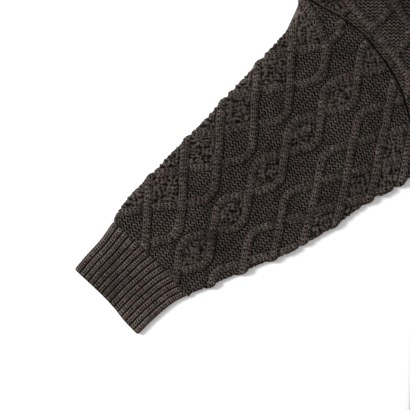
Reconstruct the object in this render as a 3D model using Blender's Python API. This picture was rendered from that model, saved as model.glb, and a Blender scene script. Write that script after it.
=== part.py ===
"""A cable-knit dress laid flat on its back: dropped shoulders, long sleeves turned down,
ribbed cuffs, hem and neckband.

The cloth is a wall of even thickness.  Front and back are two panels that meet at the side
and shoulder seams; sleeves, cuffs, hem and neckband are flattened tubes, open at both ends.
+X is the wearer's left, +Y runs from the hem to the neck, +Z is up from the floor.
Lengths below are millimetres; they become metres when a mesh is made.
"""
import math

import bmesh
import bpy
import numpy as np
from mathutils.geometry import delaunay_2d_cdt

MM = 0.001

# ---- the cloth ------------------------------------------------------------------------
WALL = 3.0                 # thickness of one layer
LAYER_GAP = 1.2            # air between the upper and the lower layer
SEAM_GAP = 0.3             # parting between two pieces at a seam
FOLD_RADIUS = WALL + LAYER_GAP / 2
CABLE_HEIGHT = 2.8
CABLE_HALF_WIDTH = 5.4
RIB_PITCH = 7.5
RIB_HEIGHT = 1.5
RIB_HALF_CREST = 1.9
RIB_HALF_FOOT = 3.1
RIDGE_MARGIN = 2.2         # raised work stops this far inside a piece's edge
SHORTEST_LINE = 1.0        # a ridge's line shorter than this is left out
SAME_POINT = 0.0001        # points this close count as one
SAME_PLACE_DIGITS = 3      # and so do plane points that agree to this many digits
ALMOST_STRAIGHT = 1e-6     # the turn below which two edges count as one line
PARALLEL = 1e-9

# ---- the body -------------------------------------------------------------------------
NECK_POINT = (95.0, 1150.0)         # where shoulder and neckline meet
SHOULDER_DROP_LENGTH = 108.0        # the shoulder line carries the sleeve's fold on for this
HEM_HEIGHT = 72.0
HEM_HALF_WIDTH = 248.0              # at the hem's lower edge
BODY_HALF_WIDTH = 255.0             # where the hem joins
NECK_DROP_FRONT = 96.0
NECK_DROP_BACK = 22.0
NECKBAND_WIDTH = 28.0
NECKBAND_RISE = 11.0                # how far the band's upper corner lies above the neck point
NECK_LEAD = 7.0                     # the neck seam leaves the shoulder straight for this
NECK_STEPS = 10                     # steps of half a neck curve

# ---- the sleeve, in its own frame: along from the cuff's end, across to the underarm -----
SLEEVE_ANGLE = 47.5                 # degrees below the horizontal
CUFF_MIDDLE = (608.4, 644.4)

# columns: along, across at the upper fold, across at the underarm side
CUFF_SIDES = (
    (0.0, -54.6, 53.4),
    (24.0, -55.8, 54.6),
    (48.0, -55.8, 57.6),
    (62.0, -57.2, 61.2),
    (78.0, -59.4, 68.4),
)
SLEEVE_SIDES = (
    (78.0, -59.4, 68.4),
    (90.0, -62.4, 74.4),
    (120.0, -65.4, 87.6),
    (150.0, -63.6, 101.4),
    (185.0, -63.0, 117.0),
    (215.0, -61.2, 126.6),
    (250.0, -60.6, 138.6),
    (300.0, -60.0, 148.8),
    (366.0, -60.0, 170.4),
    (408.0, -61.8, 170.4),
    (420.0, -71.4, 170.4),
    (430.0, -78.0, 170.4),
)
# columns: across, along of the cuff's end
CUFF_END = ((-54.6, 4.0), (-12.0, 3.6), (12.0, 1.8), (30.0, -1.2), (53.4, -2.6))
# columns: across, along of the join of cuff and sleeve
CUFF_JOIN = ((-59.4, 78.0), (12.0, 78.0), (40.0, 75.0), (68.4, 71.5))
# columns: across, along of the armhole seam
ARMHOLE = (
    (-78.0, 430.0),
    (-54.0, 436.0),
    (-24.0, 443.0),
    (6.0, 446.2),
    (32.0, 443.6),
    (60.0, 438.0),
    (90.0, 427.0),
    (120.0, 409.0),
    (146.0, 388.6),
    (170.4, 366.0),
)

# ---- the cable lattice -----------------------------------------------------------------
CABLE_PERIOD = 64.3                 # from one crossing to the next in a column
TURN_HALF_LENGTH = 7.0              # a strand runs straight for this long where it turns
# A column is a crossing at every even or every odd half period, or a turn at the even ones.
CROSS_EVEN = "cross_even"
CROSS_ODD = "cross_odd"
TURN = "turn"
SLEEVE_COLUMNS = (
    (-93.0, CROSS_EVEN),
    (-66.0, CROSS_ODD),
    (-39.6, CROSS_EVEN),
    (-12.6, CROSS_ODD),
    (5.4, TURN),
    (20.4, TURN),
    (37.8, CROSS_ODD),
    (55.2, TURN),
    (73.8, TURN),
    (90.0, CROSS_ODD),
    (109.2, CROSS_EVEN),
    (128.4, CROSS_ODD),
    (147.6, CROSS_EVEN),
    (166.8, CROSS_ODD),
    (186.0, CROSS_EVEN),
)
SLEEVE_EVEN_ALONG = 116.4           # one even half period of the sleeve
BODY_COLUMNS_HALF = (
    (27.0, CROSS_ODD),
    (45.0, TURN),
    (60.0, TURN),
    (77.4, CROSS_ODD),
    (94.8, TURN),
    (109.8, TURN),
    (127.8, CROSS_ODD),
    (154.8, CROSS_EVEN),
    (181.8, CROSS_ODD),
    (199.8, TURN),
    (214.8, TURN),
    (232.2, CROSS_ODD),
    (249.6, TURN),
    (264.6, TURN),
    (282.6, CROSS_ODD),
    (312.0, CROSS_EVEN),
    (341.4, CROSS_ODD),
    (370.8, CROSS_EVEN),
    (400.2, CROSS_ODD),
)
BODY_EVEN_HEIGHT = 136.15           # one even half period of the body
SLEEVE_LEVELS = (-3, 13)            # half periods of the sleeve that carry cells
BODY_LEVELS = (-3, 36)

# ---- colours, linear ---------------------------------------------------------------------
DARK_CABLE = (0.036, 0.030, 0.027)
DARK_RIB = (0.032, 0.027, 0.024)

ROUND = "round"                     # an edge that turns down to the other layer
BUTT = "butt"                       # an edge cut square, where another piece joins


# ---- plane curves ----------------------------------------------------------------------
def through(points, steps):
    """A smooth open curve through the points, with that many steps between each two."""
    points = np.asarray(points, dtype=float)
    padded = np.vstack([2 * points[0] - points[1], points, 2 * points[-1] - points[-2]])
    curve = []
    for i in range(1, len(padded) - 2):
        a, b, c, d = padded[i - 1:i + 3]
        for step in range(steps):
            t = step / steps
            curve.append(0.5 * (2 * b + (c - a) * t + (2 * a - 5 * b + 4 * c - d) * t ** 2
                                + (3 * b - a - 3 * c + d) * t ** 3))
    curve.append(padded[-2])
    return np.array(curve)


def quadratic(start, bend, end, steps):
    """A curve that leaves start towards bend and arrives at end from it."""
    start, bend, end = (np.asarray(p, dtype=float) for p in (start, bend, end))
    t = np.linspace(0, 1, steps + 1)[:, None]
    return (1 - t) ** 2 * start + 2 * t * (1 - t) * bend + t ** 2 * end


def unit(vector):
    return vector / np.linalg.norm(vector)


def lengths(curve):
    """The distance along the curve at each of its points."""
    steps = np.linalg.norm(np.diff(curve, axis=0), axis=1)
    return np.concatenate([[0], np.cumsum(steps)])


def outline(*chains):
    """Join (kind, points) chains, each starting where the last one ends, into a closed
    outline: its points and the kind of the edge that leaves each of them."""
    points, kinds = [], []
    for kind, chain in chains:
        points.extend(chain[:-1])
        kinds.extend([kind] * (len(chain) - 1))
    return np.array(points), kinds


def counterclockwise(points, kinds):
    """The same outline, turned round if it runs clockwise."""
    after = np.roll(points, -1, axis=0)
    if np.sum(points[:, 0] * after[:, 1] - after[:, 0] * points[:, 1]) > 0:
        return points, kinds
    return points[::-1], kinds[-2::-1] + kinds[-1:]


def inset_vectors(points, kinds):
    """For each point, the step that moves it one unit in from its round edges.  A corner
    with a butt edge slides along that edge, and a point between butt edges stays."""
    vectors = np.zeros_like(points)
    for i in range(len(points)):
        before = unit(points[i] - points[i - 1])
        after = unit(points[(i + 1) % len(points)] - points[i])
        in_before = np.array([-before[1], before[0]])
        in_after = np.array([-after[1], after[0]])
        if kinds[i - 1] == ROUND and kinds[i] == ROUND:
            vectors[i] = (in_before + in_after) / (1 + in_before @ in_after)
        elif kinds[i - 1] == ROUND:
            vectors[i] = after / (after @ in_before)
        elif kinds[i] == ROUND:
            vectors[i] = -before / (-before @ in_after)
    return vectors


def inset_polygon(polygon, distances):
    """Move each edge of a counterclockwise polygon in by its own distance."""
    moved = []
    count = len(polygon)
    for i in range(count):
        before = unit(polygon[i] - polygon[i - 1])
        after = unit(polygon[(i + 1) % count] - polygon[i])
        on_before = polygon[i] + np.array([-before[1], before[0]]) * distances[i - 1]
        on_after = polygon[i] + np.array([-after[1], after[0]]) * distances[i]
        turn = before[0] * after[1] - before[1] * after[0]
        if abs(turn) < ALMOST_STRAIGHT:
            moved.append(on_after)
            continue
        gap = on_after - on_before
        moved.append(on_before + before * (gap[0] * after[1] - gap[1] * after[0]) / turn)
    return np.array(moved)


def is_inside(point, polygon):
    """Whether the polygon encloses the point."""
    x, y = point
    x1, y1 = polygon[:, 0], polygon[:, 1]
    x2, y2 = np.roll(x1, -1), np.roll(y1, -1)
    spans = (y1 > y) != (y2 > y)
    rise = np.where(spans, y2 - y1, 1.0)
    crossing = x1 + (y - y1) / rise * (x2 - x1)
    return bool(np.count_nonzero(spans & (x < crossing)) % 2)


def clip(segments, polygon):
    """The stretches of the segments that lie inside the polygon."""
    corner = polygon
    edge = np.roll(polygon, -1, axis=0) - polygon
    kept = []
    for start, end in segments:
        run = end - start
        cross = run[0] * edge[:, 1] - run[1] * edge[:, 0]
        parallel = np.abs(cross) < PARALLEL
        cross = np.where(parallel, 1.0, cross)
        to_corner = corner - start
        on_run = (to_corner[:, 0] * edge[:, 1] - to_corner[:, 1] * edge[:, 0]) / cross
        on_edge = (to_corner[:, 0] * run[1] - to_corner[:, 1] * run[0]) / cross
        hits = ~parallel & (on_run > 0) & (on_run < 1) & (on_edge >= 0) & (on_edge <= 1)
        stops = [0.0] + sorted(on_run[hits]) + [1.0]
        for t0, t1 in zip(stops, stops[1:]):
            long_enough = (t1 - t0) * np.linalg.norm(run) > SHORTEST_LINE
            if long_enough and is_inside(start + run * (t0 + t1) / 2, polygon):
                kept.append((start + run * t0, start + run * t1))
    return kept


# ---- raised work -----------------------------------------------------------------------
class Ridges:
    """Raised lines on a panel: where their middles run, the lines that bound their faces,
    and the height that follows from the distance to the nearest middle."""

    def __init__(self, middles, bounds, height, half_crest, half_foot):
        self.middles = middles
        self.bounds = bounds
        self.height = height
        self.half_crest = half_crest
        self.half_foot = half_foot

    def at(self, points):
        """The raised height at each point."""
        points = np.asarray(points, dtype=float)
        nearest = np.full(len(points), np.inf)
        for start, end in self.middles:
            run = end - start
            t = np.clip((points - start) @ run / (run @ run), 0, 1)
            away = np.linalg.norm(points - start - t[:, None] * run, axis=1)
            nearest = np.minimum(nearest, away)
        slope = (self.half_foot - nearest) / (self.half_foot - self.half_crest)
        return self.height * np.clip(slope, 0, 1)


def cable_cells(columns, first_level, last_level):
    """The cells that the strands bound, as (corners, is_neck) with corners (across, half
    periods) and is_neck true for an edge that only crosses plain ground."""
    turn = TURN_HALF_LENGTH / (CABLE_PERIOD / 2)

    def side(column, level, upward):
        across, kind = column
        if kind != TURN:
            return [(across, level)]
        ends = [(across, level - turn), (across, level + turn)]
        return ends if upward else ends[::-1]

    cells = []
    for i in range(1, len(columns) - 1):
        left, middle, right = columns[i - 1], columns[i], columns[i + 1]
        if middle[1] == TURN:
            continue
        parity = 0 if middle[1] == CROSS_ODD else 1
        for level in range(first_level, last_level):
            if level % 2 != parity:
                continue
            corners = [(middle[0], level - 1)] + side(right, level, True)
            corners += [(middle[0], level + 1)] + side(left, level, False)
            cells.append((corners, [False] * len(corners)))
    for i in range(1, len(columns) - 2):
        if columns[i][1] != TURN or columns[i + 1][1] != TURN:
            continue
        outer_left, left, right, outer_right = (c[0] for c in columns[i - 1:i + 3])
        for level in range(first_level, last_level):
            if level % 2 == 0:
                continue
            corners = [(left, level - 1), (right, level - 1), (right, level - 1 + turn),
                       (outer_right, level), (right, level + 1 - turn), (right, level + 1),
                       (left, level + 1), (left, level + 1 - turn), (outer_left, level),
                       (left, level - 1 + turn)]
            is_neck = [k in (0, 5) for k in range(len(corners))]
            cells.append((corners, is_neck))
    return cells


def cables(columns, first_level, last_level, place):
    """The lattice of cables; place turns (across, half periods) into a plane point."""
    middles, bounds = {}, []
    for corners, is_neck in cable_cells(columns, first_level, last_level):
        polygon = np.array([place(*corner) for corner in corners])
        closed = np.roll(polygon, -1, axis=0)
        area = np.sum(polygon[:, 0] * closed[:, 1] - closed[:, 0] * polygon[:, 1])
        if area < 0:
            polygon = polygon[::-1]
            is_neck = is_neck[-2::-1] + is_neck[-1:]
        floor = inset_polygon(polygon, [0 if neck else CABLE_HALF_WIDTH for neck in is_neck])
        for i, neck in enumerate(is_neck):
            j = (i + 1) % len(polygon)
            bounds.append((floor[i], floor[j]))
            if not neck:
                ends = sorted(tuple(np.round(polygon[k], SAME_PLACE_DIGITS)) for k in (i, j))
                middles[tuple(ends)] = (polygon[i], polygon[j])
    middles = list(middles.values())
    return Ridges(middles, bounds + middles, CABLE_HEIGHT, 0.0, CABLE_HALF_WIDTH)


def ribs(lower, upper):
    """Ribs that run from the lower polyline to the upper one, as many as fit between the
    ends at the rib's pitch on the lower one."""
    def at(line, share):
        length = lengths(line)
        where = share * length[-1]
        return np.array([np.interp(where, length, line[:, k]) for k in (0, 1)])

    def across_line(line, share):
        beside = 0.01
        return unit(at(line, share + beside) - at(line, share - beside))

    count = round(lengths(lower)[-1] / RIB_PITCH)
    middles, bounds = [], []
    for k in range(count):
        share = (k + 0.5) / count
        foot, head = at(lower, share), at(upper, share)
        across, across_head = across_line(lower, share), across_line(upper, share)
        overrun = unit(head - foot) * FOLD_RADIUS
        foot, head = foot - overrun, head + overrun
        middles.append((foot, head))
        for offset in (-RIB_HALF_FOOT, -RIB_HALF_CREST, RIB_HALF_CREST, RIB_HALF_FOOT):
            bounds.append((foot + across * offset, head + across_head * offset))
    return Ridges(middles, bounds, RIB_HEIGHT, RIB_HALF_CREST, RIB_HALF_FOOT)


# ---- walls -----------------------------------------------------------------------------
def triangulated(boundary, segments):
    """Triangles that fill the boundary and keep the segments as edges: the points, which of
    them lie on the boundary, and the triangles."""
    index = {}
    points = []

    def number(point):
        key = tuple(round(float(value), SAME_PLACE_DIGITS) for value in point)
        if key not in index:
            index[key] = len(points)
            points.append(key)
        return index[key]

    loop = [number(point) for point in boundary]
    edges = [(number(a), number(b)) for a, b in segments]
    edges = [edge for edge in edges if edge[0] != edge[1]]
    verts, _, triangles, sources, _, _ = delaunay_2d_cdt(points, edges, [loop], 1, SAME_POINT)
    on_edge = [any(source < len(loop) for source in found) for found in sources]
    placed = [points[found[0]] if found else tuple(vert) for vert, found in zip(verts, sources)]
    return np.array(placed), on_edge, triangles


def add_face(bm, corners):
    """A face through the corners, in millimetres; corners that coincide count once."""
    kept = []
    for corner in corners:
        if all(np.linalg.norm(np.subtract(corner, other)) > SAME_POINT for other in kept):
            kept.append(corner)
    if len(kept) > 2:
        bm.faces.new([bm.verts.new([c * MM for c in corner]) for corner in kept])


def add_sheet(bm, boundary, level, segments, ridges):
    """A level sheet inside the boundary, raised by the ridges."""
    points, on_edge, triangles = triangulated(boundary, segments)
    raised = ridges.at(points) if ridges else np.zeros(len(points))
    raised[on_edge] = 0
    verts = [bm.verts.new((x * MM, y * MM, (level + h) * MM))
             for (x, y), h in zip(points, raised)]
    for triangle in triangles:
        bm.faces.new([verts[i] for i in triangle])


def add_half(bm, points, kinds, upward, parted, ridges=None):
    """One layer of cloth: the upper one with upward 1, the lower one with -1.  Its round
    edges turn to meet the other layer, parted from it by the seam gap or joined to it."""
    points, kinds = counterclockwise(points, kinds)
    vectors = inset_vectors(points, kinds)
    middle = FOLD_RADIUS + (upward * SEAM_GAP / 2 if parted else 0)
    inner_radius = FOLD_RADIUS - WALL
    outer_turn = [(FOLD_RADIUS * (1 - math.cos(a)), FOLD_RADIUS * math.sin(a))
                  for a in (0, math.pi / 4, math.pi / 2)]
    inner_turn = [(WALL + inner_radius * (1 - math.cos(a)), inner_radius * math.sin(a))
                  for a in (0, math.pi / 2)]

    def ring(step, rise, flat_rise):
        moves = np.linalg.norm(vectors, axis=1) > 0
        heights = np.where(moves, rise, flat_rise)
        base = np.where(moves & (rise == 0), middle, FOLD_RADIUS)
        plane = points + vectors * step
        return np.column_stack([plane, base + upward * heights])

    outer = [ring(step, rise, FOLD_RADIUS) for step, rise in outer_turn]
    inner = [ring(step, rise, inner_radius) for step, rise in inner_turn]
    count = len(points)
    for i in range(count):
        j = (i + 1) % count
        if kinds[i] == ROUND:
            for rings in (outer, inner):
                for near, far in zip(rings, rings[1:]):
                    add_face(bm, [near[i], near[j], far[j], far[i]])
            if parted:
                add_face(bm, [outer[0][i], outer[0][j], inner[0][j], inner[0][i]])
        else:
            start_out = [r[i] for r in outer]
            end_out = [r[j] for r in reversed(outer)]
            start_in = [r[i] for r in inner]
            end_in = [r[j] for r in reversed(inner)]
            add_face(bm, start_out + end_out + (start_in + end_in)[::-1])
    segments = []
    boundary = outer[-1][:, :2]
    if ridges:
        margin = inset_polygon(boundary, [RIDGE_MARGIN] * count)
        segments = clip(ridges.bounds, margin)
        segments += [(margin[i - 1], margin[i]) for i in range(count)]
    add_sheet(bm, boundary, FOLD_RADIUS * (1 + upward), segments, ridges)
    add_sheet(bm, inner[-1][:, :2], FOLD_RADIUS + upward * inner_radius, [], None)


def finish(bm, name, colour, collection, mirrored=False):
    """Weld the mesh, turn its faces outward, and put it in the scene as an object."""
    weld = 0.01 * MM
    bmesh.ops.remove_doubles(bm, verts=bm.verts[:], dist=weld)
    bmesh.ops.dissolve_degenerate(bm, edges=bm.edges[:], dist=weld)
    bmesh.ops.triangulate(bm, faces=bm.faces[:])
    bmesh.ops.translate(bm, verts=bm.verts[:], vec=(0, -TOTAL_LENGTH / 2 * MM, 0))
    if mirrored:
        bmesh.ops.scale(bm, verts=bm.verts[:], vec=(-1, 1, 1))
    bmesh.ops.recalc_face_normals(bm, faces=bm.faces[:])
    mesh = bpy.data.meshes.new(name)
    bm.to_mesh(mesh)
    bm.free()
    material = bpy.data.materials.new(name + "_wool")
    material.use_nodes = True
    shader = material.node_tree.nodes["Principled BSDF"]
    shader.inputs["Base Color"].default_value = (*colour, 1)
    shader.inputs["Roughness"].default_value = 0.9
    shader.inputs["Metallic"].default_value = 0.0
    mesh.materials.append(material)
    obj = bpy.data.objects.new(name, mesh)
    collection.objects.link(obj)
    return obj


# ---- the sleeve's frame and outline ------------------------------------------------------
TOTAL_LENGTH = NECK_POINT[1] + NECKBAND_RISE
ANGLE = math.radians(SLEEVE_ANGLE)
ALONG = np.array([-math.cos(ANGLE), math.sin(ANGLE)])
ACROSS = np.array([-math.sin(ANGLE), -math.cos(ANGLE)])


def on_sleeve(across, along):
    """A point of the wearer's left sleeve in the dress's plane."""
    return np.array(CUFF_MIDDLE) + ALONG * along + ACROSS * across


def tube_outline(sides, lower_end, upper_end):
    """The outline of a cuff or a sleeve between its end curves, and those two curves."""
    def side(column, lower, upper):
        rows = [(row[column], row[0]) for row in sides if lower[1] < row[0] < upper[1]]
        return np.array([on_sleeve(*row) for row in [lower] + rows + [upper]])

    fold = side(1, lower_end[0], upper_end[0])
    under = side(2, lower_end[-1], upper_end[-1])
    lower = np.array([on_sleeve(*row) for row in through(lower_end, 2)])
    upper = np.array([on_sleeve(*row) for row in through(upper_end, 2)])
    joined = outline((BUTT, lower), (ROUND, under), (BUTT, upper[::-1]), (ROUND, fold[::-1]))
    return *joined, lower, upper


def moved_along(rows, step):
    """The (across, along) rows, moved along the sleeve."""
    return [(across, along + step) for across, along in rows]


def sleeve_cable_point(across, half_periods):
    return on_sleeve(across, SLEEVE_EVEN_ALONG + half_periods * CABLE_PERIOD / 2)


def make_cuff(name, collection, mirrored):
    points, kinds, lower, upper = tube_outline(
        CUFF_SIDES, CUFF_END, moved_along(CUFF_JOIN, -SEAM_GAP / 2))
    bm = bmesh.new()
    add_half(bm, points, kinds, 1, False, ribs(lower, upper))
    add_half(bm, points, kinds, -1, False)
    finish(bm, name, DARK_RIB, collection, mirrored)


def make_sleeve(name, collection, mirrored):
    points, kinds, _, _ = tube_outline(
        SLEEVE_SIDES, moved_along(CUFF_JOIN, SEAM_GAP / 2), moved_along(ARMHOLE, -SEAM_GAP))
    bm = bmesh.new()
    add_half(bm, points, kinds, 1, False,
             cables(SLEEVE_COLUMNS, SLEEVE_LEVELS[0], SLEEVE_LEVELS[1], sleeve_cable_point))
    add_half(bm, points, kinds, -1, False)
    finish(bm, name, DARK_CABLE, collection, mirrored)


# ---- the body's frame and outline --------------------------------------------------------
ARMHOLE_SEAM = np.array([on_sleeve(*row) for row in through(ARMHOLE[::-1], 2)])
UNDERARM = ARMHOLE_SEAM[0]
SHOULDER_TIP = ARMHOLE_SEAM[-1]
SHOULDER_BEND = SHOULDER_TIP + ALONG * SHOULDER_DROP_LENGTH
BODY_COLUMNS = tuple((-across, kind) for across, kind in BODY_COLUMNS_HALF[::-1])
BODY_COLUMNS += ((0.0, CROSS_EVEN),) + BODY_COLUMNS_HALF


def body_cable_point(wale, half_periods):
    """A point of the cable lattice, whose wales run up from the hem as the side seams do to
    the underarm, and straight on above it."""
    height = BODY_EVEN_HEIGHT + half_periods * CABLE_PERIOD / 2
    share = min((height - HEM_HEIGHT) / (UNDERARM[1] - HEM_HEIGHT), 1)
    half_width = BODY_HALF_WIDTH + (UNDERARM[0] - BODY_HALF_WIDTH) * share
    return np.array([wale * half_width / BODY_HALF_WIDTH, height])


def both_sides(half):
    """A half line from the wearer's left to the middle, carried on to the other side."""
    return np.vstack([half, half[-2::-1] * np.array([-1, 1])])


def neck_curve(drop, into_band):
    """A line round the neck, from the wearer's left shoulder to the right one: the neck seam,
    moved into the band.  Front and back leave the shoulder square to the band's end."""
    run = math.sqrt(NECKBAND_WIDTH ** 2 - NECKBAND_RISE ** 2)
    end_line = np.array([-run, NECKBAND_RISE]) / NECKBAND_WIDTH
    start = np.array(NECK_POINT) + end_line * into_band
    lead = start + np.array([-end_line[1], end_line[0]]) * NECK_LEAD
    bottom = NECK_POINT[1] - drop + into_band
    angles = np.linspace(0, math.pi / 2, NECK_STEPS + 1)
    curve = np.column_stack([lead[0] * np.cos(angles),
                             lead[1] + (bottom - lead[1]) * np.sin(angles)])
    curve[-1, 0] = 0
    return both_sides(np.vstack([start, curve]))


def make_panel(name, collection, upward, neck_drop):
    """The front or the back: one layer of cloth from the hem to the neck."""
    bottom = HEM_HEIGHT + SEAM_GAP / 2
    lower = np.array([(-BODY_HALF_WIDTH, bottom), (BODY_HALF_WIDTH, bottom)])
    side = np.array([lower[1], UNDERARM])
    shoulder = quadratic(SHOULDER_TIP, SHOULDER_BEND, NECK_POINT, 8)
    mirror = np.array([-1, 1])
    points, kinds = outline(
        (BUTT, lower), (ROUND, side), (BUTT, ARMHOLE_SEAM), (ROUND, shoulder),
        (BUTT, neck_curve(neck_drop, 0.0)), (ROUND, shoulder[::-1] * mirror),
        (BUTT, ARMHOLE_SEAM[::-1] * mirror), (ROUND, side[::-1] * mirror))
    raised = None
    if upward > 0:
        raised = cables(BODY_COLUMNS, BODY_LEVELS[0], BODY_LEVELS[1], body_cable_point)
    bm = bmesh.new()
    add_half(bm, points, kinds, upward, True, raised)
    finish(bm, name, DARK_CABLE, collection)


def make_hem(name, collection):
    top = HEM_HEIGHT - SEAM_GAP / 2
    lower = np.array([(-HEM_HALF_WIDTH, 0.0), (HEM_HALF_WIDTH, 0.0)])
    upper = np.array([(BODY_HALF_WIDTH, top), (-BODY_HALF_WIDTH, top)])
    points, kinds = outline((BUTT, lower), (ROUND, np.array([lower[1], upper[0]])),
                            (BUTT, upper), (ROUND, np.array([upper[1], lower[0]])))
    bm = bmesh.new()
    add_half(bm, points, kinds, 1, False, ribs(lower, upper[::-1]))
    add_half(bm, points, kinds, -1, False)
    finish(bm, name, DARK_RIB, collection)


def make_neckband(name, collection):
    bm = bmesh.new()
    for upward, drop in ((1, NECK_DROP_FRONT), (-1, NECK_DROP_BACK)):
        seam = neck_curve(drop, SEAM_GAP)
        free = neck_curve(drop, NECKBAND_WIDTH)
        points, kinds = outline((ROUND, np.array([seam[0], free[0]])), (BUTT, free),
                                (ROUND, np.array([free[-1], seam[-1]])), (BUTT, seam[::-1]))
        raised = ribs(seam, free) if upward > 0 else None
        add_half(bm, points, kinds, upward, False, raised)
    finish(bm, name, DARK_RIB, collection)


def main():
    for obj in list(bpy.data.objects):
        bpy.data.objects.remove(obj, do_unlink=True)
    collection = bpy.data.collections.new("knit_dress")
    bpy.context.scene.collection.children.link(collection)
    make_panel("front", collection, 1, NECK_DROP_FRONT)
    make_panel("back", collection, -1, NECK_DROP_BACK)
    for side, mirrored in (("left", False), ("right", True)):
        make_sleeve("sleeve_" + side, collection, mirrored)
        make_cuff("cuff_" + side, collection, mirrored)
    make_neckband("neckband", collection)
    make_hem("hem", collection)


main()
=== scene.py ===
"""The looks of the cable-knit dress: the stitches, cables and ribs of every piece of cloth.

Plane sizes are millimetres, as in the part's source, and become metres when a mesh is placed.
A stitch pattern is worked out over the cloth: `wale` runs across it and `course` along it.
"""
import math

import bmesh
import bpy
import mathutils
import numpy as np
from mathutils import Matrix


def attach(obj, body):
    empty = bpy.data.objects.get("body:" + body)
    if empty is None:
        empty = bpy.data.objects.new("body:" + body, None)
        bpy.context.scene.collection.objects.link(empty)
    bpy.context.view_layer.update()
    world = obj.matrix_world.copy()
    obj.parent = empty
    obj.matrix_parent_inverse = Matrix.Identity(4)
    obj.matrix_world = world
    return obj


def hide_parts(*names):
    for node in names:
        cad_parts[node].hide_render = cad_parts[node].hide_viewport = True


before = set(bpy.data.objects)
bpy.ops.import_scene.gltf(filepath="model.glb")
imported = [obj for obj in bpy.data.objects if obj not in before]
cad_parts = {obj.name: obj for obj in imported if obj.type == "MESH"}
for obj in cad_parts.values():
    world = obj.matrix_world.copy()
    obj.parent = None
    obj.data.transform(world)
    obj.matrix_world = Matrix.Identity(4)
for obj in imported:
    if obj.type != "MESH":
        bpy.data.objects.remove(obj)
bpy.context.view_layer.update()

MM = 0.001
FINE = 1.0

# ---- the cloth, as in the part's source ----
WALL = 3.0
LAYER_GAP = 1.2
SEAM_GAP = 0.3
OUTER_FOLD = WALL + LAYER_GAP / 2
INNER_FOLD = LAYER_GAP / 2
MIDDLE = OUTER_FOLD  # height of the middle between the two layers
RIM = 0.8  # how far a cut edge is rounded

NECK_POINT = (95.0, 1150.0)
SHOULDER_DROP_LENGTH = 108.0
HEM_HEIGHT = 72.0
HEM_HALF_WIDTH = 248.0
BODY_HALF_WIDTH = 255.0
NECK_DROP_FRONT = 96.0
NECK_DROP_BACK = 22.0
NECKBAND_WIDTH = 28.0
NECKBAND_RISE = 11.0
NECKBAND_RUN = math.sqrt(NECKBAND_WIDTH ** 2 - NECKBAND_RISE ** 2)
NECK_LEAD = 7.0
NECK_STEPS = 40
NECKBAND_LINES = 9  # from its seam to its free edge
SLEEVE_ANGLE = math.radians(47.5)
CUFF_MIDDLE = (608.4, 644.4)
TOTAL_LENGTH = NECK_POINT[1] + NECKBAND_RISE
CURVE_STEPS = 8  # between two given points of an end curve
SIDE_STEPS = 6  # and of a side
PLACE_ROUNDS = 8  # in which a place between such curves is found
ALONG = np.array([-math.cos(SLEEVE_ANGLE), math.sin(SLEEVE_ANGLE)])
ACROSS = np.array([-math.sin(SLEEVE_ANGLE), -math.cos(SLEEVE_ANGLE)])

# columns: along the sleeve, across at the upper fold, across at the underarm side
CUFF_SIDES = (
    (0, -54.6, 53.4), (24, -55.8, 54.6), (48, -55.8, 57.6), (62, -57.2, 61.2),
    (78, -59.4, 68.4),
)
SLEEVE_SIDES = (
    (78, -59.4, 68.4), (90, -62.4, 74.4), (120, -65.4, 87.6), (150, -63.6, 101.4),
    (185, -63, 117), (215, -61.2, 126.6), (250, -60.6, 138.6), (300, -60, 148.8),
    (366, -60, 170.4), (408, -61.8, 170.4), (420, -71.4, 170.4), (430, -78, 170.4),
)
# columns: across, along
CUFF_END = ((-54.6, 4), (-12, 3.6), (12, 1.8), (30, -1.2), (53.4, -2.6))
CUFF_JOIN = ((-59.4, 78), (12, 78), (40, 75), (68.4, 71.5))
ARMHOLE = (
    (-78, 430), (-54, 436), (-24, 443), (6, 446.2), (32, 443.6), (60, 438), (90, 427),
    (120, 409), (146, 388.6), (170.4, 366),
)

# ---- the knitting ----
# Unevenness is given as layers, each with its patch size in millimetres, amount and seed.
STITCH_WIDTH = 5.64  # one wale of the ground
STITCH_HEIGHT = 4.04  # one course of the ground
WALE_WANDER = ((26, 0.16, 6),)  # how uneven the stitches are across, in stitches
COURSE_WANDER = ((19, 0.16, 3), (7, 0.15, 4))
GROUND_DEPTH = 1.5  # from the top of a course to the gap below it
ZIGZAG = 0.60  # swing of a course, in courses
GAP_POWER = 0.85  # the lower, the wider the gaps
MEAN_GAP = 0.4  # of the ground, where its gaps are left to the material
GAP_LEAST = 0.70  # how open the ground's gaps are where its courses turn
GAP_ON_LEGS = 0.22  # how much more on every slanting leg
GAP_FALLING = 0.20  # and more again on falling legs than on rising ones
GAP_TURNS = 0.13  # and on one course's falling legs, the next one's rising

CABLE_PERIOD = 64.3  # from one crossing to the next in a column
CABLE_HEIGHT = 2.9
CABLE_HEIGHT_WANDER = ((11, 0.12, 8),)
CABLE_HALF_WIDTH = 5.0
CABLE_ROUNDING = 0.42  # power of a strand's section: 0.5 is a half ellipse
CABLE_SINK = 0.4  # how far its edges lie below the ground's tops
TURN_HALF_LENGTH = 7.0
TURN_WINDOW = 19  # courses of 1 mm over which a strand's corners are rounded
OVER_LIFT = 0.3  # a strand rises this far where it passes over
UNDER_DROP = 2.7  # and sinks this far where it passes under
TUCK_START = 0.45  # share of that drop from which it lies in shade
TUCK_SHADE = 0.5
CROSSING_REACH = 9.2  # along the cloth, to each side of a crossing
CROSSING_SLOPE = 5.0  # of it, the way in which a strand rises or sinks
STRAND_SWAY = ((21, 1.5, 5),)  # how far a strand strays from its line
STRAND_APART = 37.0  # between the places where two strands read unevenness
STRAND_WALE = 5.0  # one of the two knit wales of a strand
STRAND_COURSE = 4.8
STRAND_MIDDLE = 2  # wale count in a strand's middle
STRAND_STAGGER = 0.37  # courses by which one strand's stitches lag the last one's
STRAND_WALE_WANDER = ((5.5, 0.13, 21),)
STRAND_COURSE_WANDER = ((4.6, 0.38, 22),)
STRAND_STITCH_DEPTH = 0.7
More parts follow.
